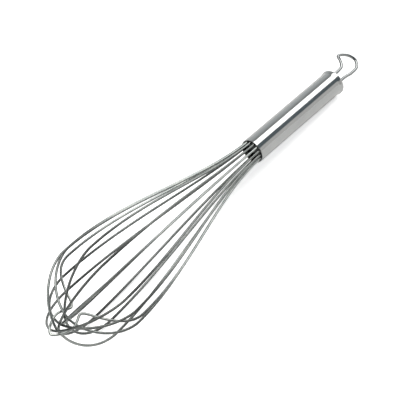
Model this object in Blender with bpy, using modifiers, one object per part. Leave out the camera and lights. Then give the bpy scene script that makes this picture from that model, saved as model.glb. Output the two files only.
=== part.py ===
"""A balloon whisk: eight springy wire loops gripped in a steel tube that ends in a hanging hook.

The whisk is designed along +X, with the origin at the centre of the handle's front rim.
Every piece hangs from one empty, which lays the whisk down on z = 0 as it comes to rest:
on the rear rim of the handle and on the two lowest wires of the balloon.
"""
import math

import bmesh
import bpy
from mathutils import Vector

MM = 0.001
GAP = 0.3 * MM                  # clearance between neighbouring pieces

# Handle
HANDLE_LENGTH = 114 * MM
HANDLE_RADIUS = 11 * MM
HANDLE_WALL = 0.8 * MM
FLARE_RADIUS = 11.8 * MM        # the rear end opens a little, over its last few millimetres
FLARE_LENGTH = 4.5 * MM
TURN_STEPS = 32

# Balloon
WIRE_RADIUS = 1.0 * MM
LOOP_COUNT = 8
STRAND_PITCH = 180.0 / LOOP_COUNT       # degrees between neighbouring strands at the neck
FIRST_STRAND = -2.5 * STRAND_PITCH      # so that two strands straddle the ground
NECK_RADIUS = HANDLE_RADIUS - HANDLE_WALL - GAP - WIRE_RADIUS
WIRE_SOCKET = 30 * MM                   # length of each wire end inside the handle
NECK_SPREAD = 0.16                      # how soon the strands leave the neck
LEAN = Vector((0, 2, -4)) * MM          # the balloon bows off the handle's line, at LEAN_AT
LEAN_AT = 200 * MM
BELLY_RADIUS = 38.5 * MM                # the balloon at its widest, to the wires' centres
WIDEST_AT = 0.82                        # where a loop is widest, as a share of its height
ROUNDNESS = 1.8                         # of a loop's crown: 2 is an ellipse, less is pointed
LOWEST_TOP = 221.5 * MM                 # height of the innermost loop above the handle
TOP_STEP = 2.45 * MM                    # each loop passes over the one inside it
LEG_POINTS = 15
CROWN_POINTS = 24

# Each loop but the last: its place in the stack where the loops cross at the top, counted from
# the innermost, and how far its two legs stray from their even places (degrees).
LOOPS = (
    (0, -5, -5),
    (5, -15, 5),
    (1, 0, 5),
    (4, 5, 0),
    (2, 0, -5),
    (6, 5, 0),
    (3, 5, -5),
)

# The last loop ties the others together: above its widest place it closes to a neck, and opens
# again into an eye that they pass through. The outline is the eye's: height above the handle
# and half width, wide enough for the loops that cross it at a narrow angle.
TIE_STRAYS = (0, -5)
TIE_WIDEST_AT = 178 * MM
TIE_FALL = 2.5                          # how late its shoulders fall in towards the neck
TIE_SHOULDER = 0.95                     # share of the way to the neck where it turns up
TIE_SHOULDER_POINTS = 8
EYE_NECK_AT = 211 * MM
EYE_NECK = 4 * MM
EYE_OUTLINE = ((213, 4.5), (218, 6.5), (224, 8.5), (230, 7.5), (236, 4.5))
EYE_TOP = 240 * MM
TIE_FINENESS = 2                # pieces between two of those points

# Core: the plug that the wire ends stand around
CORE_RADIUS = NECK_RADIUS - WIRE_RADIUS - GAP
CORE_RECESS = 5 * MM
CORE_DISH = 1.5 * MM
CORE_FLANGE = 5 * MM

# Rear cap and hanging hook
CAP_RECESS = 2.5 * MM
CAP_LENGTH = 8 * MM
HOOK_WIRE_RADIUS = 1.4 * MM
HOOK_TURN = 123                 # degrees from +Z towards +Y: the side the hook's wide leg is on
# The hook's centre line in its own plane, from the end of one leg round to the other:
# distance back from the front rim, distance across (mm).
HOOK_POINTS = (
    (108, -4.5), (129, -4.5), (134.5, -6.5), (137, -10.5), (138.5, -14.5), (143, -13),
    (148, -9), (150.5, -4), (150, 0), (145.5, 4), (136, 4.5), (128, 3.5), (108, 3.5),
)
HOOK_FINENESS = 5               # pieces between two of those points


def clear_scene():
    for obj in list(bpy.data.objects):
        bpy.data.objects.remove(obj, do_unlink=True)


def make_collection(name):
    collection = bpy.data.collections.new(name)
    bpy.context.scene.collection.children.link(collection)
    return collection


def make_material(name, colour, roughness, metallic):
    material = bpy.data.materials.new(name)
    material.use_nodes = True
    shader = material.node_tree.nodes["Principled BSDF"]
    shader.inputs["Base Color"].default_value = (*colour, 1.0)
    shader.inputs["Roughness"].default_value = roughness
    shader.inputs["Metallic"].default_value = metallic
    return material


def add_object(name, data, collection, material, parent):
    obj = bpy.data.objects.new(name, data)
    collection.objects.link(obj)
    obj.parent = parent
    if material:
        data.materials.append(material)
    return obj


def turned(name, profile, collection, material, parent):
    """Spin a profile of (radius, height) points, listed down the outer side, about the +X axis."""
    mesh = bpy.data.meshes.new(name)
    bm = bmesh.new()
    verts = [bm.verts.new((radius, 0, height)) for radius, height in profile]
    for start, end in zip(verts, verts[1:]):
        bm.edges.new((start, end))
    if profile[0][0] > 0:
        bm.edges.new((verts[-1], verts[0]))
    bm.to_mesh(mesh)
    bm.free()
    obj = add_object(name, mesh, collection, material, parent)
    obj.rotation_euler = (0, math.pi / 2, 0)
    screw = obj.modifiers.new("Turn", "SCREW")
    screw.steps = TURN_STEPS
    screw.render_steps = TURN_STEPS
    screw.use_merge_vertices = True
    screw.merge_threshold = 0.00001
    screw.use_smooth_shade = True
    return obj


def wire(name, points, radius, collection, material, parent):
    """A round wire along a list of points, closed at both ends."""
    curve = bpy.data.curves.new(name, "CURVE")
    curve.dimensions = "3D"
    curve.bevel_depth = radius
    curve.bevel_resolution = 2
    curve.use_fill_caps = True
    spline = curve.splines.new("POLY")
    spline.points.add(len(points) - 1)
    for place, point in zip(spline.points, points):
        place.co = (*point, 1.0)
    spline.use_smooth = True
    return add_object(name, curve, collection, material, parent)


def radial(azimuth):
    """Unit vector square to the whisk's axis, at degrees from +Z towards +Y."""
    angle = math.radians(azimuth)
    return Vector((0, math.sin(angle), math.cos(angle)))


def smooth_step(t):
    return t * t * (3 - 2 * t)


def bowed(x):
    """Centre of the balloon at x, with its lean."""
    return Vector((x, 0, 0)) + LEAN * (max(x, 0) / LEAN_AT) ** 2


def leg_points(neck_azimuth, stray, widest_at):
    """One leg of a loop, from its end in the handle to just below its widest place."""
    points = [Vector((-WIRE_SOCKET, 0, 0)) + NECK_RADIUS * radial(neck_azimuth)]
    for step in range(LEG_POINTS):
        t = step / LEG_POINTS
        spread = NECK_SPREAD * (t ** 3 - 2 * t ** 2 + t) + smooth_step(t)
        radius = NECK_RADIUS + (BELLY_RADIUS - NECK_RADIUS) * spread
        azimuth = neck_azimuth + stray * smooth_step(t)
        points.append(bowed(widest_at * t) + radius * radial(azimuth))
    return points


def over_the_top(outline, azimuth_a, azimuth_b):
    """Turn an outline of (height, distance across) from the plane of leg a to that of leg b."""
    points = []
    for step, (height, across) in enumerate(outline):
        blend = smooth_step(step / (len(outline) - 1))
        azimuth = azimuth_a + (azimuth_b - 180 - azimuth_a) * blend
        points.append(bowed(height) + across * radial(azimuth))
    return points


def crown_outline(widest_at, top):
    """The plain arch of a loop over the top."""
    outline = []
    for step in range(CROWN_POINTS + 1):
        angle = math.pi * step / CROWN_POINTS
        across = math.copysign(abs(math.cos(angle)) ** (2 / ROUNDNESS), math.cos(angle))
        up = max(math.sin(angle), 0) ** (2 / ROUNDNESS)
        outline.append((widest_at + (top - widest_at) * up, BELLY_RADIUS * across))
    return outline


def tie_outline():
    """The tie loop's shoulders, closing to a neck, and the eye above them."""
    half = []
    for step in range(TIE_SHOULDER_POINTS + 1):
        t = TIE_SHOULDER * step / TIE_SHOULDER_POINTS
        half.append((TIE_WIDEST_AT + (EYE_NECK_AT - TIE_WIDEST_AT) * t,
                     EYE_NECK + (BELLY_RADIUS - EYE_NECK) * (1 - t ** TIE_FALL)))
    half += [(height * MM, width * MM) for height, width in EYE_OUTLINE]
    return half + [(EYE_TOP, 0)] + [(height, -across) for height, across in reversed(half)]


def loop_points(index):
    """Centre line of one whole loop, in metres, in the whisk's own frame."""
    neck_a = FIRST_STRAND + STRAND_PITCH * index
    neck_b = neck_a + 180
    if index < len(LOOPS):
        place, stray_a, stray_b = LOOPS[index]
        top = LOWEST_TOP + TOP_STEP * place
        widest_at = WIDEST_AT * top
        crown = over_the_top(crown_outline(widest_at, top), neck_a + stray_a, neck_b + stray_b)
    else:
        stray_a, stray_b = TIE_STRAYS
        widest_at = TIE_WIDEST_AT
        crown = through(over_the_top(tie_outline(), neck_a + stray_a, neck_b + stray_b),
                        TIE_FINENESS)
    leg_a = leg_points(neck_a, stray_a, widest_at)
    leg_b = leg_points(neck_b, stray_b, widest_at)
    return leg_a + crown + leg_b[::-1]


def through(points, pieces):
    """Points of a smooth line through the given ones (a Catmull-Rom spline)."""
    ends = [2 * points[0] - points[1], *points, 2 * points[-1] - points[-2]]
    line = []
    for p0, p1, p2, p3 in zip(ends, ends[1:], ends[2:], ends[3:]):
        for step in range(pieces):
            t = step / pieces
            line.append(0.5 * (2 * p1 + (p2 - p0) * t + (2 * p0 - 5 * p1 + 4 * p2 - p3) * t ** 2
                               + (3 * p1 - p0 - 3 * p2 + p3) * t ** 3))
    return line + [points[-1]]


def hook_points():
    """Centre line of the hanging hook, in the whisk's own frame."""
    side = radial(HOOK_TURN)
    places = [Vector((-back * MM, 0, 0)) + across * MM * side for back, across in HOOK_POINTS]
    return through(places, HOOK_FINENESS)


def make_handle(collection, parent):
    steel = make_material("handle_steel", (0.62, 0.63, 0.62), 0.32, 1.0)
    inner = HANDLE_RADIUS - HANDLE_WALL
    edge = 0.25 * MM
    rear = -HANDLE_LENGTH
    flare = FLARE_RADIUS - HANDLE_RADIUS
    outer_side = [(HANDLE_RADIUS - edge, 0), (HANDLE_RADIUS, -edge),
                  (HANDLE_RADIUS, rear + FLARE_LENGTH)]
    for part in (0.3, 0.6, 0.8):
        outer_side.append((HANDLE_RADIUS + flare * smooth_step(part / 0.8),
                           rear + FLARE_LENGTH * (1 - part)))
    outer_side += [(FLARE_RADIUS - 0.1 * MM, rear + edge), (FLARE_RADIUS - 0.4 * MM, rear)]
    inner_side = [(inner + flare, rear), (inner + flare, rear + 1.2 * MM),
                  (inner, rear + CAP_RECESS), (inner, 0)]
    return turned("handle_tube", outer_side + inner_side, collection, steel, parent)


def make_core(collection, parent):
    resin = make_material("core_resin", (0.05, 0.05, 0.055), 0.6, 0.0)
    front = -CORE_RECESS
    back = -WIRE_SOCKET - GAP
    flange = HANDLE_RADIUS - HANDLE_WALL - GAP
    profile = [(0, front - CORE_DISH), (CORE_RADIUS * 0.7, front - CORE_DISH * 0.8),
               (CORE_RADIUS - 0.4 * MM, front), (CORE_RADIUS, front - 0.4 * MM),
               (CORE_RADIUS, back), (flange, back), (flange, back - CORE_FLANGE),
               (0, back - CORE_FLANGE)]
    return turned("wire_core", profile, collection, resin, parent)


def make_cap(collection, cutters, parent):
    steel = make_material("cap_steel", (0.45, 0.46, 0.46), 0.4, 1.0)
    front = -HANDLE_LENGTH + CAP_RECESS + CAP_LENGTH
    back = front - CAP_LENGTH
    radius = HANDLE_RADIUS - HANDLE_WALL - GAP
    profile = [(0, front), (radius - 0.4 * MM, front), (radius, front - 0.4 * MM),
               (radius, back + 0.6 * MM), (radius - 0.6 * MM, back), (0, back)]
    cap = turned("rear_cap", profile, collection, steel, parent)
    side = radial(HOOK_TURN)
    for number, across in enumerate((HOOK_POINTS[0][1], HOOK_POINTS[-1][1])):
        bpy.ops.mesh.primitive_cylinder_add(vertices=16, radius=HOOK_WIRE_RADIUS + GAP,
                                            depth=3 * CAP_LENGTH)
        hole = bpy.context.active_object
        hole.name = f"hook_hole_{number + 1}"
        for owner in list(hole.users_collection):
            owner.objects.unlink(hole)
        cutters.objects.link(hole)
        hole.parent = parent
        hole.rotation_euler = (0, math.pi / 2, 0)
        hole.location = Vector(((front + back) / 2, 0, 0)) + across * MM * side
        hole.hide_render = True
        hole.display_type = "WIRE"
        cut = cap.modifiers.new(hole.name, "BOOLEAN")
        cut.operation = "DIFFERENCE"
        cut.solver = "EXACT"
        cut.object = hole
    return cap


def make_loops(collection, parent):
    spring = make_material("spring_steel", (0.72, 0.72, 0.70), 0.2, 1.0)
    return [wire(f"whisk_wire_{index + 1}", loop_points(index), WIRE_RADIUS, collection,
                 spring, parent) for index in range(LOOP_COUNT)]


def make_hook(collection, parent):
    polished = make_material("hook_steel", (0.66, 0.67, 0.67), 0.12, 1.0)
    return wire("hanging_hook", hook_points(), HOOK_WIRE_RADIUS, collection, polished, parent)


def resting_tilt():
    """Angle between the handle's line and the ground when the rear rim and the balloon touch it."""
    low = [point for index in range(LOOP_COUNT) for point in loop_points(index)]
    return max(math.atan2(WIRE_RADIUS - point.z - FLARE_RADIUS, point.x + HANDLE_LENGTH)
               for point in low)


def set_down(axis, pieces):
    """Move the whisk so that it stands on z = 0 with its box centred on the origin."""
    bpy.context.view_layer.update()
    graph = bpy.context.evaluated_depsgraph_get()
    corners = []
    for piece in pieces:
        evaluated = piece.evaluated_get(graph)
        mesh = evaluated.to_mesh()
        corners += [evaluated.matrix_world @ vertex.co for vertex in mesh.vertices]
        evaluated.to_mesh_clear()
    xs, ys, zs = zip(*corners)
    axis.location -= Vector(((min(xs) + max(xs)) / 2, (min(ys) + max(ys)) / 2, min(zs)))


def main():
    clear_scene()
    whisk = make_collection("balloon_whisk")
    cutters = make_collection("cutters")
    axis = bpy.data.objects.new("whisk_axis", None)
    whisk.objects.link(axis)
    axis.empty_display_size = 0.02
    axis.rotation_euler = (0, -resting_tilt(), 0)
    pieces = [make_handle(whisk, axis), make_core(whisk, axis), make_cap(whisk, cutters, axis),
              *make_loops(whisk, axis), make_hook(whisk, axis)]
    set_down(axis, pieces)


main()
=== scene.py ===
"""Looks for the balloon whisk: fine wires, turned handle, hook, steel materials, light and camera."""
import math

import bmesh
import bpy
from mathutils import Matrix, Vector


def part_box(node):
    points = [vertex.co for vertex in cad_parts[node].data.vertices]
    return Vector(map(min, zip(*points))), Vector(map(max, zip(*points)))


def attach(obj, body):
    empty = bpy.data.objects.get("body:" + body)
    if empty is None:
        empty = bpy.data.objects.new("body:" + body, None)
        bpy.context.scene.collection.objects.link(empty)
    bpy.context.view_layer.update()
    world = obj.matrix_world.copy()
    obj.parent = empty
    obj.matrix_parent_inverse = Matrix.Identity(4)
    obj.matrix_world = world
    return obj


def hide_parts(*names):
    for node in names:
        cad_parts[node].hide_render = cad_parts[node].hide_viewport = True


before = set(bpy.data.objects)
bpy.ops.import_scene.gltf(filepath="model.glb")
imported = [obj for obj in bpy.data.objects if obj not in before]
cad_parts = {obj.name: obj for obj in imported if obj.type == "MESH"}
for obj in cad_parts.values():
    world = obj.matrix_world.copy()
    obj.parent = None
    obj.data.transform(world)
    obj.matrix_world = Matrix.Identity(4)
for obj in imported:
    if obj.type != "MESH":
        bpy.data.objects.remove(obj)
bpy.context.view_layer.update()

MM = 0.001

# ---------------------------------------------------------------------------
# The whisk's own frame: +X from the handle's front rim to the balloon's top.
# ---------------------------------------------------------------------------
GAP = 0.3 * MM                          # clearance between neighbouring pieces

# Handle
HANDLE_LENGTH = 114 * MM
HANDLE_RADIUS = 11 * MM
HANDLE_WALL = 0.8 * MM
FLARE_RADIUS = 11.8 * MM                # the rear end opens a little
FLARE_LENGTH = 4.5 * MM
RIM_EDGE = 0.25 * MM                    # bevel on the CAD handle's front rim

# Balloon
WIRE_RADIUS = 1.0 * MM
LOOP_COUNT = 8
STRAND_PITCH = 180.0 / LOOP_COUNT       # degrees between neighbouring strands at the neck
FIRST_STRAND = -2.5 * STRAND_PITCH      # so that two strands straddle the ground
NECK_RADIUS = HANDLE_RADIUS - HANDLE_WALL - GAP - WIRE_RADIUS
WIRE_SOCKET = 30 * MM                   # length of each wire end inside the handle
NECK_SPREAD = 0.16                      # how soon the strands leave the neck
LEAN = Vector((0, 2, -4)) * MM          # the balloon bows off the handle's line, at LEAN_AT
LEAN_AT = 200 * MM
BELLY_RADIUS = 38.5 * MM                # the balloon at its widest, to the wires' centres
WIDEST_AT = 0.82                        # where a loop is widest, as a share of its height
ROUNDNESS = 1.8                         # of a loop's crown: 2 is an ellipse, less is pointed
LOWEST_TOP = 221.5 * MM                 # height of the innermost loop above the handle
TOP_STEP = 2.45 * MM                    # each loop passes over the one inside it
LEG_POINTS = 15
CROWN_POINTS = 24
WIRE_FINENESS = 5                       # pieces between two points of a loop

# Each loop but the last: its place in the stack where the loops cross at the top, counted from
# the innermost, and how far its two legs stray from their even places (degrees).
LOOPS = (
    (0, -5, -5),
    (5, -15, 5),
    (1, 0, 5),
    (4, 5, 0),
    (2, 0, -5),
    (6, 5, 0),
    (3, 5, -5),
)

# The last loop ties the others together: above its widest place it closes to a neck, and opens
# again into an eye that they pass through. The outline is the eye's: height above the handle
# and half width, wide enough for the loops that cross it at a narrow angle.
TIE_STRAYS = (0, -5)
TIE_WIDEST_AT = 178 * MM
TIE_FALL = 2.5                          # how late its shoulders fall in towards the neck
TIE_SHOULDER = 0.95                     # share of the way to the neck where it turns up
TIE_SHOULDER_POINTS = 8
EYE_NECK_AT = 211 * MM
EYE_NECK = 4 * MM
EYE_OUTLINE = ((213, 4.5), (218, 6.5), (224, 8.5), (230, 7.5), (236, 4.5))
EYE_TOP = 240 * MM
TIE_FINENESS = 2                        # pieces between two of those points

# Hanging hook
HOOK_WIRE_RADIUS = 1.4 * MM
HOOK_TURN = 123                         # the way across its plane, degrees from +Z towards +Y
# Its centre line in its own plane, from the end of one leg round to the other: distance back
# from the front rim, distance across (mm).
HOOK_POINTS = (
    (108, -4.5), (129, -4.5), (134.5, -6.5), (137, -10.5), (138.5, -14.5), (143, -13),
    (148, -9), (150.5, -4), (150, 0), (145.5, 4), (136, 4.5), (128, 3.5), (108, 3.5),
)
HOOK_FINENESS = 8                       # pieces between two of those points

# Core and rear cap
CORE_RADIUS = NECK_RADIUS - WIRE_RADIUS - GAP
CORE_RECESS = 5 * MM
CORE_DISH = 1.5 * MM
CORE_FLANGE = 5 * MM
CAP_RECESS = 2.5 * MM


def radial(azimuth):
    """Unit vector square to the whisk's axis, at degrees from +Z towards +Y."""
    angle = math.radians(azimuth)
    return Vector((0, math.sin(angle), math.cos(angle)))


def smooth_step(t):
    """Rises from 0 to 1 as t does, with level ends."""
    return t * t * (3 - 2 * t)


def bowed(x):
    """Centre of the balloon at x, with its lean."""
    return Vector((x, 0, 0)) + LEAN * (max(x, 0) / LEAN_AT) ** 2


def leg_points(neck_azimuth, stray, widest_at):
    """One leg of a loop, from its end in the handle to just below its widest place."""
    points = [Vector((-WIRE_SOCKET, 0, 0)) + NECK_RADIUS * radial(neck_azimuth)]
    for step in range(LEG_POINTS):
        t = step / LEG_POINTS
        spread = NECK_SPREAD * (t ** 3 - 2 * t ** 2 + t) + smooth_step(t)
        radius = NECK_RADIUS + (BELLY_RADIUS - NECK_RADIUS) * spread
        azimuth = neck_azimuth + stray * smooth_step(t)
        points.append(bowed(widest_at * t) + radius * radial(azimuth))
    return points


def over_the_top(outline, azimuth_a, azimuth_b):
    """Turn an outline of (height, distance across) from the plane of leg a to that of leg b."""
    points = []
    for step, (height, across) in enumerate(outline):
        blend = smooth_step(step / (len(outline) - 1))
        azimuth = azimuth_a + (azimuth_b - 180 - azimuth_a) * blend
        points.append(bowed(height) + across * radial(azimuth))
    return points


def crown_outline(widest_at, top):
    """The plain arch of a loop over the top."""
    outline = []
    for step in range(CROWN_POINTS + 1):
        angle = math.pi * step / CROWN_POINTS
        across = math.copysign(abs(math.cos(angle)) ** (2 / ROUNDNESS), math.cos(angle))
        up = max(math.sin(angle), 0) ** (2 / ROUNDNESS)
        outline.append((widest_at + (top - widest_at) * up, BELLY_RADIUS * across))
    return outline


def tie_outline():
    """The tie loop's shoulders, closing to a neck, and the eye above them."""
    half = []
    for step in range(TIE_SHOULDER_POINTS + 1):
        t = TIE_SHOULDER * step / TIE_SHOULDER_POINTS
        half.append((TIE_WIDEST_AT + (EYE_NECK_AT - TIE_WIDEST_AT) * t,
                     EYE_NECK + (BELLY_RADIUS - EYE_NECK) * (1 - t ** TIE_FALL)))
    half += [(height * MM, width * MM) for height, width in EYE_OUTLINE]
    return half + [(EYE_TOP, 0)] + [(height, -across) for height, across in reversed(half)]


def loop_points(index):
    """Centre line of one whole loop, in metres, in the whisk's own frame."""
    neck_a = FIRST_STRAND + STRAND_PITCH * index
    neck_b = neck_a + 180
    if index < len(LOOPS):
        place, stray_a, stray_b = LOOPS[index]
        top = LOWEST_TOP + TOP_STEP * place
        widest_at = WIDEST_AT * top
        crown = over_the_top(crown_outline(widest_at, top), neck_a + stray_a, neck_b + stray_b)
    else:
        stray_a, stray_b = TIE_STRAYS
        widest_at = TIE_WIDEST_AT
        crown = through(over_the_top(tie_outline(), neck_a + stray_a, neck_b + stray_b),
                        TIE_FINENESS)
    leg_a = leg_points(neck_a, stray_a, widest_at)
    leg_b = leg_points(neck_b, stray_b, widest_at)
    return leg_a + crown + leg_b[::-1]


def through(points, pieces):
    """Points of a smooth line through the given ones (a Catmull-Rom spline)."""
    ends = [2 * points[0] - points[1], *points, 2 * points[-1] - points[-2]]
    line = []
    for p0, p1, p2, p3 in zip(ends, ends[1:], ends[2:], ends[3:]):
        for step in range(pieces):
            t = step / pieces
            line.append(0.5 * (2 * p1 + (p2 - p0) * t + (2 * p0 - 5 * p1 + 4 * p2 - p3) * t ** 2
                               + (3 * p1 - p0 - 3 * p2 + p3) * t ** 3))
    return line + [points[-1]]


def hook_points():
    """Centre line of the hanging hook, in the whisk's own frame."""
    side = radial(HOOK_TURN)
    places = [Vector((-back * MM, 0, 0)) + across * MM * side for back, across in HOOK_POINTS]
    return through(places, HOOK_FINENESS)


def resting_tilt():
    """Angle between the handle's line and the ground when the rear rim and the balloon touch it."""
    low = [point for index in range(LOOP_COUNT) for point in loop_points(index)]
    return max(math.atan2(WIRE_RADIUS - point.z - FLARE_RADIUS, point.x + HANDLE_LENGTH)
               for point in low)


def lying_frame():
    """The whisk's own frame in the row frame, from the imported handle's front rim."""
    low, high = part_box("handle_tube")
    tilt = resting_tilt()
    front_x = high.x - (HANDLE_RADIUS - RIM_EDGE) * math.sin(tilt)
    front_z = high.z - HANDLE_RADIUS * math.cos(tilt) + RIM_EDGE * math.sin(tilt)
    place = Matrix.Translation((front_x, (low.y + high.y) / 2, front_z))
    return place @ Matrix.Rotation(-tilt, 4, "Y")


WHISK = lying_frame()


# ---------------------------------------------------------------------------
# Mesh tools
# ---------------------------------------------------------------------------
END_STEPS = 4                           # steps in the rounding of a wire's end


def add_piece(name, bm, material, slot, *nodes):
    """A finished mesh in the whisk's frame becomes a piece that stands for its CAD nodes."""
    bm.transform(WHISK)
    mesh = bpy.data.meshes.new(name)
    bm.to_mesh(mesh)
    bm.free()
    mesh.materials.append(material)
    mesh.shade_smooth()
    piece = bpy.data.objects.new(name, mesh)
    bpy.context.scene.collection.objects.link(piece)
    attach(piece, "root")
    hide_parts(*nodes)
    return piece


def tube_mesh(points, radius, sides, end_round, tone=1.0):
    """A round wire along points with softly rounded ends. Its attribute "straight" holds each
    point's place on the wire as if it were pulled straight along +X, "height" its height above
    the handle, and "shine" the wire's own share of brightness, which is a painted reflection."""
    bm = bmesh.new()
    straight = bm.verts.layers.float_vector.new("straight")
    height = bm.verts.layers.float.new("height")
    shine = bm.verts.layers.float.new("shine")
    tangents = [(after - before).normalized()
                for before, after in zip([points[0], *points], [*points[1:], points[-1]])]
    across = tangents[0].orthogonal().normalized()
    stations = []
    travelled = 0.0
    for number, (point, tangent) in enumerate(zip(points, tangents)):
        if number:
            travelled += (point - points[number - 1]).length
        across = (across - tangent * across.dot(tangent)).normalized()
        stations.append((point, tangent, across.copy(), travelled, radius))

    def rounded(station, way):
        """Shrinking rings from the wire's end outwards."""
        point, tangent, side, along, _ = station
        turns = [math.pi / 2 * step / END_STEPS for step in range(1, END_STEPS)]
        return [(point + way * tangent * end_round * math.sin(turn), tangent, side,
                 along + way * end_round * math.sin(turn),
                 radius - end_round * (1 - math.cos(turn))) for turn in turns]

    rings = []
    stations = rounded(stations[0], -1)[::-1] + stations + rounded(stations[-1], 1)
    for point, tangent, side, along, size in stations:
        up = tangent.cross(side)
        ring = []
        for step in range(sides):
            angle = 2 * math.pi * step / sides
            vert = bm.verts.new(point + size * (math.cos(angle) * side + math.sin(angle) * up))
            vert[straight] = (along, size * math.cos(angle), size * math.sin(angle))
            vert[height] = max(point.x, 0.0)
            vert[shine] = tone
            ring.append(vert)
        rings.append(ring)
    for ring, next_ring in zip(rings, rings[1:]):
        for step in range(sides):
            other = (step + 1) % sides
            bm.faces.new((ring[step], ring[other], next_ring[other], next_ring[step]))
    bm.faces.new(rings[0][::-1])
    bm.faces.new(rings[-1])
    return bm


def turned_mesh(profile, steps):
    """Spin a profile of (distance behind the front rim, radius) points about the whisk's axis.
    The profile runs along the outside from front to back, and is closed on itself if it can be."""
    bm = bmesh.new()
    closed = profile[0][1] > 0
    rings = []
    for back, radius in profile:
        if radius == 0:
            rings.append([bm.verts.new((-back, 0, 0))] * steps)
            continue
        rings.append([bm.verts.new(Vector((-back, 0, 0)) + radius * radial(360 * step / steps))
                      for step in range(steps)])
    pairs = list(zip(rings, rings[1:]))
    if closed:
        pairs.append((rings[-1], rings[0]))
    for ring, next_ring in pairs:
        for step in range(steps):
            other = (step + 1) % steps
            corners = [ring[step], next_ring[step], next_ring[other], ring[other]]
            corners = [corner for place, corner in enumerate(corners) if corner not in corners[:place]]
            bm.faces.new(corners)
    bmesh.ops.recalc_face_normals(bm, faces=bm.faces)
    straight = bm.verts.layers.float_vector.new("straight")
    for vert in bm.verts:
        vert[straight] = vert.co
    return bm


# ---------------------------------------------------------------------------
# Materials
# ---------------------------------------------------------------------------
class Nodes:
    """Short names for making a material's nodes."""

    def __init__(self, tree):
        self.tree = tree

    def new(self, kind, **values):
        node = self.tree.nodes.new(kind)
        for key, value in values.items():
            setattr(node, key, value)
        return node

    def link(self, source, target):
        self.tree.links.new(source, target)

    def value(self, source, target):
        if isinstance(source, (int, float, tuple)):
            target.default_value = source
        else:
            self.link(source, target)

    def math(self, operation, first, second=0.0, third=0.0, clamp=False):
        node = self.new("ShaderNodeMath", operation=operation, use_clamp=clamp)
        for socket, source in zip(node.inputs, (first, second, third)):
            self.value(source, socket)
        return node.outputs[0]

    def stretched(self, source, scale):
        node = self.new("ShaderNodeMapping", vector_type="POINT")
        node.inputs["Scale"].default_value = scale
        self.link(source, node.inputs["Vector"])
        return node.outputs["Vector"]

    def noise(self, source, scale, detail=3.0, rough=0.5):
        node = self.new("ShaderNodeTexNoise")
        self.link(source, node.inputs["Vector"])
        node.inputs["Scale"].default_value = scale
        node.inputs["Detail"].default_value = detail
        node.inputs["Roughness"].default_value = rough
        return node.outputs["Fac"]

    def spread(self, source, low, high, to_low, to_high):
        node = self.new("ShaderNodeMapRange")
        for key, amount in zip(("From Min", "From Max", "To Min", "To Max"),
                               (low, high, to_low, to_high)):
            node.inputs[key].default_value = amount
        self.link(source, node.inputs["Value"])
        return node.outputs["Result"]

    def blend(self, factor, first, second):
        node = self.new("ShaderNodeMix", data_type="RGBA")
        self.value(factor, node.inputs["Factor"])
        for source, socket in ((first, node.inputs["A"]), (second, node.inputs["B"])):
            self.value(source, socket)
        return node.outputs["Result"]

    def bump(self, height, strength, distance, normal=None):
        node = self.new("ShaderNodeBump")
        node.inputs["Strength"].default_value = strength
        node.inputs["Distance"].default_value = distance
        self.link(height, node.inputs["Height"])
        if normal is not None:
            self.link(normal, node.inputs["Normal"])
        return node.outputs["Normal"]


def new_material(name, metallic):
    """A material with its node helper and its Principled shader."""
    material = bpy.data.materials.new(name)
    material.use_nodes = True
    shader = material.node_tree.nodes["Principled BSDF"]
    shader.inputs["Metallic"].default_value = metallic
    return Nodes(material.node_tree), shader, material


def turned_steel(name, light, dark, rough_low, rough_high, scratch):
    """Satin steel polished on a lathe: fine marks run round the axis, with faint handling marks."""
    nodes, shader, material = new_material(name, 1.0)
    place = nodes.new("ShaderNodeAttribute", attribute_name="straight").outputs["Vector"]
    rings = nodes.noise(nodes.stretched(place, (9000, 60, 60)), 1.0, 4.0, 0.65)
    wide_rings = nodes.noise(nodes.stretched(place, (900, 12, 12)), 1.0, 2.0)
    wear = nodes.noise(place, 55.0, 5.0, 0.6)
    tone = nodes.math("ADD", nodes.math("MULTIPLY", rings, 0.35), nodes.math("MULTIPLY", wear, 0.65))
    nodes.link(nodes.blend(nodes.spread(tone, 0.38, 0.62, 0.0, 1.0), dark, light),
               shader.inputs["Base Color"])
    rough = nodes.math("ADD", nodes.math("MULTIPLY", rings, 0.5), nodes.math("MULTIPLY", wear, 0.5))
    nodes.link(nodes.spread(rough, 0.35, 0.65, rough_low, rough_high), shader.inputs["Roughness"])
    height = nodes.math("ADD", rings, nodes.math("MULTIPLY", wide_rings, 0.6))
    nodes.link(nodes.bump(height, scratch, 0.00002), shader.inputs["Normal"])
    return material


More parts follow.
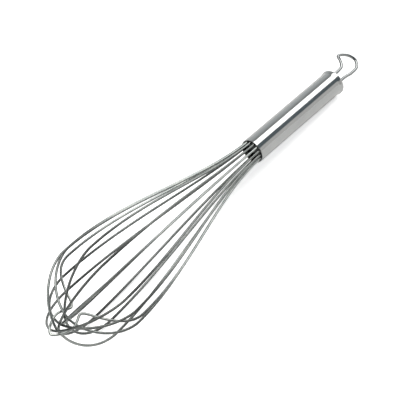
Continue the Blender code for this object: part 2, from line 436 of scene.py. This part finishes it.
def drawn_steel(name, light, dark, rough_low, rough_high, scratch, painted_shade=None):
    """Bright wire pulled through a die: fine lines run along it, with slow changes of tone.
    painted_shade lists (height above the handle, share of the wire's brightness there), a painted
    shade."""
    nodes, shader, material = new_material(name, 1.0)
    place = nodes.new("ShaderNodeAttribute", attribute_name="straight").outputs["Vector"]
    lines = nodes.noise(nodes.stretched(place, (90, 5200, 5200)), 1.0, 3.0, 0.6)
    cloud = nodes.noise(nodes.stretched(place, (110, 500, 500)), 1.0, 3.0, 0.55)
    colour = nodes.blend(nodes.spread(cloud, 0.35, 0.65, 0.0, 1.0), dark, light)
    # Painted shade and painted reflection: the colour is darkened by height above the handle and
    # scaled by each loop's own share of brightness.
    if painted_shade:
        top = painted_shade[-1][0]
        height = nodes.new("ShaderNodeAttribute", attribute_name="height").outputs["Fac"]
        ramp = nodes.new("ShaderNodeValToRGB")
        nodes.link(nodes.math("DIVIDE", height, top), ramp.inputs["Fac"])
        marks = ramp.color_ramp.elements
        for number, (place_up, share) in enumerate(painted_shade):
            mark = marks[number] if number < 2 else marks.new(place_up / top)
            mark.position = place_up / top
            mark.color = (share, share, share, 1)
        shaded = nodes.new("ShaderNodeMix", data_type="RGBA", blend_type="MULTIPLY")
        shaded.inputs["Factor"].default_value = 1.0
        toned = nodes.new("ShaderNodeVectorMath", operation="SCALE")
        nodes.link(colour, toned.inputs[0])
        tone = nodes.new("ShaderNodeAttribute", attribute_name="shine").outputs["Fac"]
        nodes.link(tone, toned.inputs["Scale"])
        nodes.link(toned.outputs["Vector"], shaded.inputs["A"])
        nodes.link(ramp.outputs["Color"], shaded.inputs["B"])
        colour = shaded.outputs["Result"]
    nodes.link(colour, shader.inputs["Base Color"])
    rough = nodes.math("ADD", nodes.math("MULTIPLY", lines, 0.6), nodes.math("MULTIPLY", cloud, 0.4))
    nodes.link(nodes.spread(rough, 0.35, 0.65, rough_low, rough_high), shader.inputs["Roughness"])
    nodes.link(nodes.bump(lines, scratch, 0.00002), shader.inputs["Normal"])
    return material


def satin_steel(name, light, dark):
    """Plain pressed steel with a fine even grain, for a part that keeps its CAD mesh."""
    nodes, shader, material = new_material(name, 1.0)
    place = nodes.new("ShaderNodeTexCoord").outputs["Object"]
    grain = nodes.noise(place, 2400.0, 4.0, 0.6)
    wear = nodes.noise(place, 180.0, 4.0, 0.6)
    nodes.link(nodes.blend(nodes.spread(wear, 0.35, 0.65, 0.0, 1.0), dark, light),
               shader.inputs["Base Color"])
    nodes.link(nodes.spread(grain, 0.3, 0.7, 0.25, 0.4), shader.inputs["Roughness"])
    nodes.link(nodes.bump(grain, 0.2, 0.00003), shader.inputs["Normal"])
    return material


def dark_resin():
    """Matt dark grey potting resin, slightly pitted and dusty."""
    nodes, shader, material = new_material("core_resin_look", 0.0)
    place = nodes.new("ShaderNodeAttribute", attribute_name="straight").outputs["Vector"]
    grain = nodes.noise(place, 2600.0, 4.0, 0.6)
    cloud = nodes.noise(place, 260.0, 3.0)
    nodes.link(nodes.blend(nodes.spread(cloud, 0.35, 0.7, 0.0, 1.0), (0.08, 0.083, 0.086, 1),
                           (0.15, 0.153, 0.156, 1)), shader.inputs["Base Color"])
    nodes.link(nodes.spread(grain, 0.3, 0.7, 0.55, 0.8), shader.inputs["Roughness"])
    nodes.link(nodes.bump(grain, 0.35, 0.0001), shader.inputs["Normal"])
    return material


# ---------------------------------------------------------------------------
# Pieces
# ---------------------------------------------------------------------------
TURN_STEPS = 160                        # steps round the handle
CORE_TURN_STEPS = 96
WIRE_SIDES = 20
WIRE_END_ROUND = 0.25 * MM
HOOK_SIDES = 28
HOOK_END_ROUND = 0.3 * MM
FRONT_EDGE = 0.22 * MM                  # roundings on the handle's front and rear rims
REAR_EDGE = 0.38 * MM
MOUTH_EDGE = 0.18 * MM                  # and just inside its mouth
BARREL_STEPS = 40                       # steps along the straight part of the handle
FLARE_STEPS = 14
FLARE_OPENING = 3.5 * MM                # length over which the flare opens
LIP_DEPTH = 1.2 * MM                    # how far in the flare's inside stays wide
LIP_BEVEL_LENGTH = 0.1 * MM             # bevel on the inside of the rear rim
LIP_BEVEL_WIDTH = 0.12 * MM
CORE_EDGE = 0.4 * MM
CORE_DISH_STEPS = 8
CORE_DISH_POWER = 2.5                   # higher makes the dish's floor flatter


def arc(centre, radius, start, end, steps):
    """Points of an arc in a profile: centre (back, out), angles from straight back to straight out."""
    points = []
    for step in range(steps + 1):
        angle = math.radians(start + (end - start) * step / steps)
        points.append((centre[0] + radius * math.cos(angle), centre[1] + radius * math.sin(angle)))
    return points


def make_handle(material):
    """The tube's wall: round rims, a straight barrel, and the flare at the rear end."""
    inner = HANDLE_RADIUS - HANDLE_WALL
    flare = FLARE_RADIUS - HANDLE_RADIUS
    profile = arc((FRONT_EDGE, HANDLE_RADIUS - FRONT_EDGE), FRONT_EDGE, 180, 90, 5)
    start = HANDLE_LENGTH - FLARE_LENGTH
    for step in range(1, BARREL_STEPS):
        back = FRONT_EDGE + (start - FRONT_EDGE) * step / BARREL_STEPS
        profile.append((back, HANDLE_RADIUS))
    for step in range(FLARE_STEPS + 1):
        part = step / FLARE_STEPS
        profile.append((start + FLARE_OPENING * part, HANDLE_RADIUS + flare * smooth_step(part)))
    profile += arc((HANDLE_LENGTH - REAR_EDGE, FLARE_RADIUS - REAR_EDGE), REAR_EDGE, 90, 0, 6)
    lip = inner + flare
    profile += [(HANDLE_LENGTH, lip + LIP_BEVEL_WIDTH), (HANDLE_LENGTH - LIP_BEVEL_LENGTH, lip),
                (HANDLE_LENGTH - LIP_DEPTH, lip), (HANDLE_LENGTH - CAP_RECESS, inner)]
    profile += arc((MOUTH_EDGE, inner + MOUTH_EDGE), MOUTH_EDGE, 270, 180, 4)
    add_piece("handle_skin", turned_mesh(profile, TURN_STEPS), material, "handle_steel",
              "handle_tube")


# Painted shade: height above the handle, and the share of the wire's brightness there. The wires are
# painted darker around the balloon's widest part than at the neck, in place of dimmer reflections
# there.
WIRE_PAINTED_SHADE = ((0.0, 1.0), (0.12, 1.0), (0.14, 0.8), (0.16, 0.45), (0.178, 0.25), (0.19, 0.32),
               (0.206, 0.7), (0.24, 1.0))
# Painted reflection: each loop's own share of the wire's brightness, lighter or darker by how it faces
# the lights.
LOOP_PAINTED_LIGHT = (1.2, 1.1, 0.8, 0.6, 1.1, 0.6, 0.7, 1.2)


def make_wires(material):
    """The eight loops, as finer wires than the CAD's."""
    for index in range(LOOP_COUNT):
        line = through(loop_points(index), WIRE_FINENESS)
        bm = tube_mesh(line, WIRE_RADIUS, WIRE_SIDES, WIRE_END_ROUND, LOOP_PAINTED_LIGHT[index])
        add_piece(f"spring_wire_{index + 1}", bm, material, "spring_steel",
                  f"whisk_wire_{index + 1}")


def make_hook(material):
    """The hanging hook, as one finer wire."""
    bm = tube_mesh(hook_points(), HOOK_WIRE_RADIUS, HOOK_SIDES, HOOK_END_ROUND)
    add_piece("hook_wire", bm, material, "hook_steel", "hanging_hook")


def make_core(material):
    """The plug among the wire ends: a dished front, and a flange that fills the tube."""
    front = CORE_RECESS
    back = WIRE_SOCKET + GAP
    flange = HANDLE_RADIUS - HANDLE_WALL - GAP
    profile = [(front + CORE_DISH, 0)]
    for step in range(1, CORE_DISH_STEPS + 1):
        part = step / CORE_DISH_STEPS
        radius = (CORE_RADIUS - CORE_EDGE) * part
        profile.append((front + CORE_DISH * (1 - part ** CORE_DISH_POWER), radius))
    profile += arc((front + CORE_EDGE, CORE_RADIUS - CORE_EDGE), CORE_EDGE, 180, 90, 5)[1:]
    profile += [(back, CORE_RADIUS), (back, flange), (back + CORE_FLANGE, flange),
                (back + CORE_FLANGE, 0)]
    add_piece("core_plug", turned_mesh(profile, CORE_TURN_STEPS), material, "core_resin",
              "wire_core")


def make_cap(material):
    """The CAD cap's shape is right, with its two hook holes, so it keeps its mesh."""
    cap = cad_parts["rear_cap"]
    cap.data.materials.clear()
    cap.data.materials.append(material)


# ---------------------------------------------------------------------------
# Stage: floor, studio and camera
# ---------------------------------------------------------------------------
FLOOR_RADIUS = 4.0
FLOOR_SIDES = 96
FLOOR_TONE = 0.84
FLOOR_GLOW = 0.6            # lifts the paper to clean white where the camera looks at it
BACKDROP = 1.3              # the tent's brightness where the camera looks at it
STRIP = 4.0                 # the strip light's brightness
FAR_END_SHARE = 0.45        # the studio is dimmer beyond the balloon than behind the handle
WARM, COOL, SLATE = (1.0, 0.99, 0.97), (0.95, 0.99, 1.0), (0.80, 0.97, 1.08)
# Angle round the X axis, in degrees from straight up towards +Y, then brightness and tint.
STUDIO_BANDS = (
    (-180, 0.85, COOL), (-100, 0.95, COOL), (-60, 0.78, COOL), (-30, 0.42, COOL),
    (-22, 0.38, COOL), (-19, STRIP, WARM), (19, STRIP, WARM), (23, 0.24, SLATE),
    (56, 0.20, SLATE), (60, 0.85, WARM), (110, 0.9, WARM), (179, 0.85, COOL),
)


def make_floor():
    """A wide disc of matt white paper."""
    bpy.ops.mesh.primitive_circle_add(vertices=FLOOR_SIDES, radius=FLOOR_RADIUS, fill_type="NGON")
    floor = bpy.context.active_object
    floor.name = "studio_floor"
    nodes, shader, material = new_material("floor_paper", 0.0)
    shader.inputs["Base Color"].default_value = (FLOOR_TONE, FLOOR_TONE, FLOOR_TONE, 1)
    shader.inputs["Roughness"].default_value = 0.9
    shader.inputs["Specular IOR Level"].default_value = 0.0
    seen = nodes.new("ShaderNodeLightPath").outputs["Is Camera Ray"]
    shader.inputs["Emission Color"].default_value = (1, 1, 1, 1)
    nodes.link(nodes.math("MULTIPLY", seen, FLOOR_GLOW), shader.inputs["Emission Strength"])
    floor.data.materials.append(material)


def make_studio():
    """A white tent with a long strip light overhead and a dark gap on the camera's side of it.
    Brightness goes by the angle round the X axis, and falls towards the balloon's end."""
    world = bpy.data.worlds.new("studio")
    bpy.context.scene.world = world
    world.use_nodes = True
    nodes = Nodes(world.node_tree)
    background = world.node_tree.nodes["Background"]
    place = nodes.new("ShaderNodeTexCoord").outputs["Generated"]
    parts = nodes.new("ShaderNodeSeparateXYZ")
    nodes.link(place, parts.inputs[0])
    turn = nodes.math("ARCTAN2", parts.outputs["Y"], parts.outputs["Z"])
    share = nodes.math("ADD", nodes.math("MULTIPLY", turn, 0.5 / math.pi), 0.5)
    ramp = nodes.new("ShaderNodeValToRGB")
    nodes.link(share, ramp.inputs["Fac"])
    bands = ramp.color_ramp.elements
    while len(bands) > 1:
        bands.remove(bands[-1])
    for number, (angle, level, tint) in enumerate(STUDIO_BANDS):
        band = bands[0] if number == 0 else bands.new(angle / 360 + 0.5)
        band.position = angle / 360 + 0.5
        band.color = [level / STRIP * part for part in tint] + [1]
    level = nodes.new("ShaderNodeVectorMath", operation="SCALE")
    nodes.link(ramp.outputs["Color"], level.inputs[0])
    nearer = nodes.spread(parts.outputs["X"], -0.35, 0.25, 1.0, FAR_END_SHARE)
    nodes.link(nodes.math("MULTIPLY", nearer, STRIP), level.inputs["Scale"])
    seen = nodes.new("ShaderNodeLightPath").outputs["Is Camera Ray"]
    shown = nodes.blend(seen, level.outputs["Vector"], (BACKDROP, BACKDROP, BACKDROP, 1))
    nodes.link(shown, background.inputs["Color"])


CAMERA_TARGET = Vector((0.025, 0.0005, 0.03))
CAMERA_DISTANCE = 1.006
CAMERA_AZIMUTH = 45      # from +X towards +Y
CAMERA_ELEVATION = 49.3
CAMERA_ROLL = -7.25
CAMERA_LENS = 114


def make_camera():
    """The camera at the photograph's viewing angle."""
    data = bpy.data.cameras.new("camera")
    data.sensor_width = 36
    data.lens = CAMERA_LENS
    camera = bpy.data.objects.new("camera", data)
    bpy.context.scene.collection.objects.link(camera)
    azimuth, elevation = math.radians(CAMERA_AZIMUTH), math.radians(CAMERA_ELEVATION)
    back = Vector((math.cos(elevation) * math.cos(azimuth),
                   math.cos(elevation) * math.sin(azimuth), math.sin(elevation)))
    aim = back.to_track_quat("Z", "Y").to_matrix().to_4x4()
    place = Matrix.Translation(CAMERA_TARGET + back * CAMERA_DISTANCE)
    camera.matrix_world = place @ aim @ Matrix.Rotation(math.radians(CAMERA_ROLL), 4, "Z")
    bpy.context.scene.camera = camera


make_camera()
make_floor()
make_studio()
bpy.context.scene.view_settings.view_transform = "Standard"

handle_look = turned_steel("handle_steel_look", (0.44, 0.445, 0.44, 1), (0.40, 0.405, 0.405, 1),
                           0.10, 0.17, 0.10)
wire_look = drawn_steel("spring_steel_look", (0.345, 0.36, 0.345, 1), (0.25, 0.27, 0.265, 1),
                        0.07, 0.12, 0.08, painted_shade=WIRE_PAINTED_SHADE)
hook_look = drawn_steel("hook_steel_look", (0.34, 0.35, 0.35, 1), (0.27, 0.28, 0.285, 1),
                        0.03, 0.08, 0.08)
cap_look = satin_steel("cap_steel_look", (0.40, 0.405, 0.405, 1), (0.30, 0.305, 0.31, 1))
make_handle(handle_look)
make_wires(wire_look)
make_hook(hook_look)
make_core(dark_resin())
make_cap(cap_look)
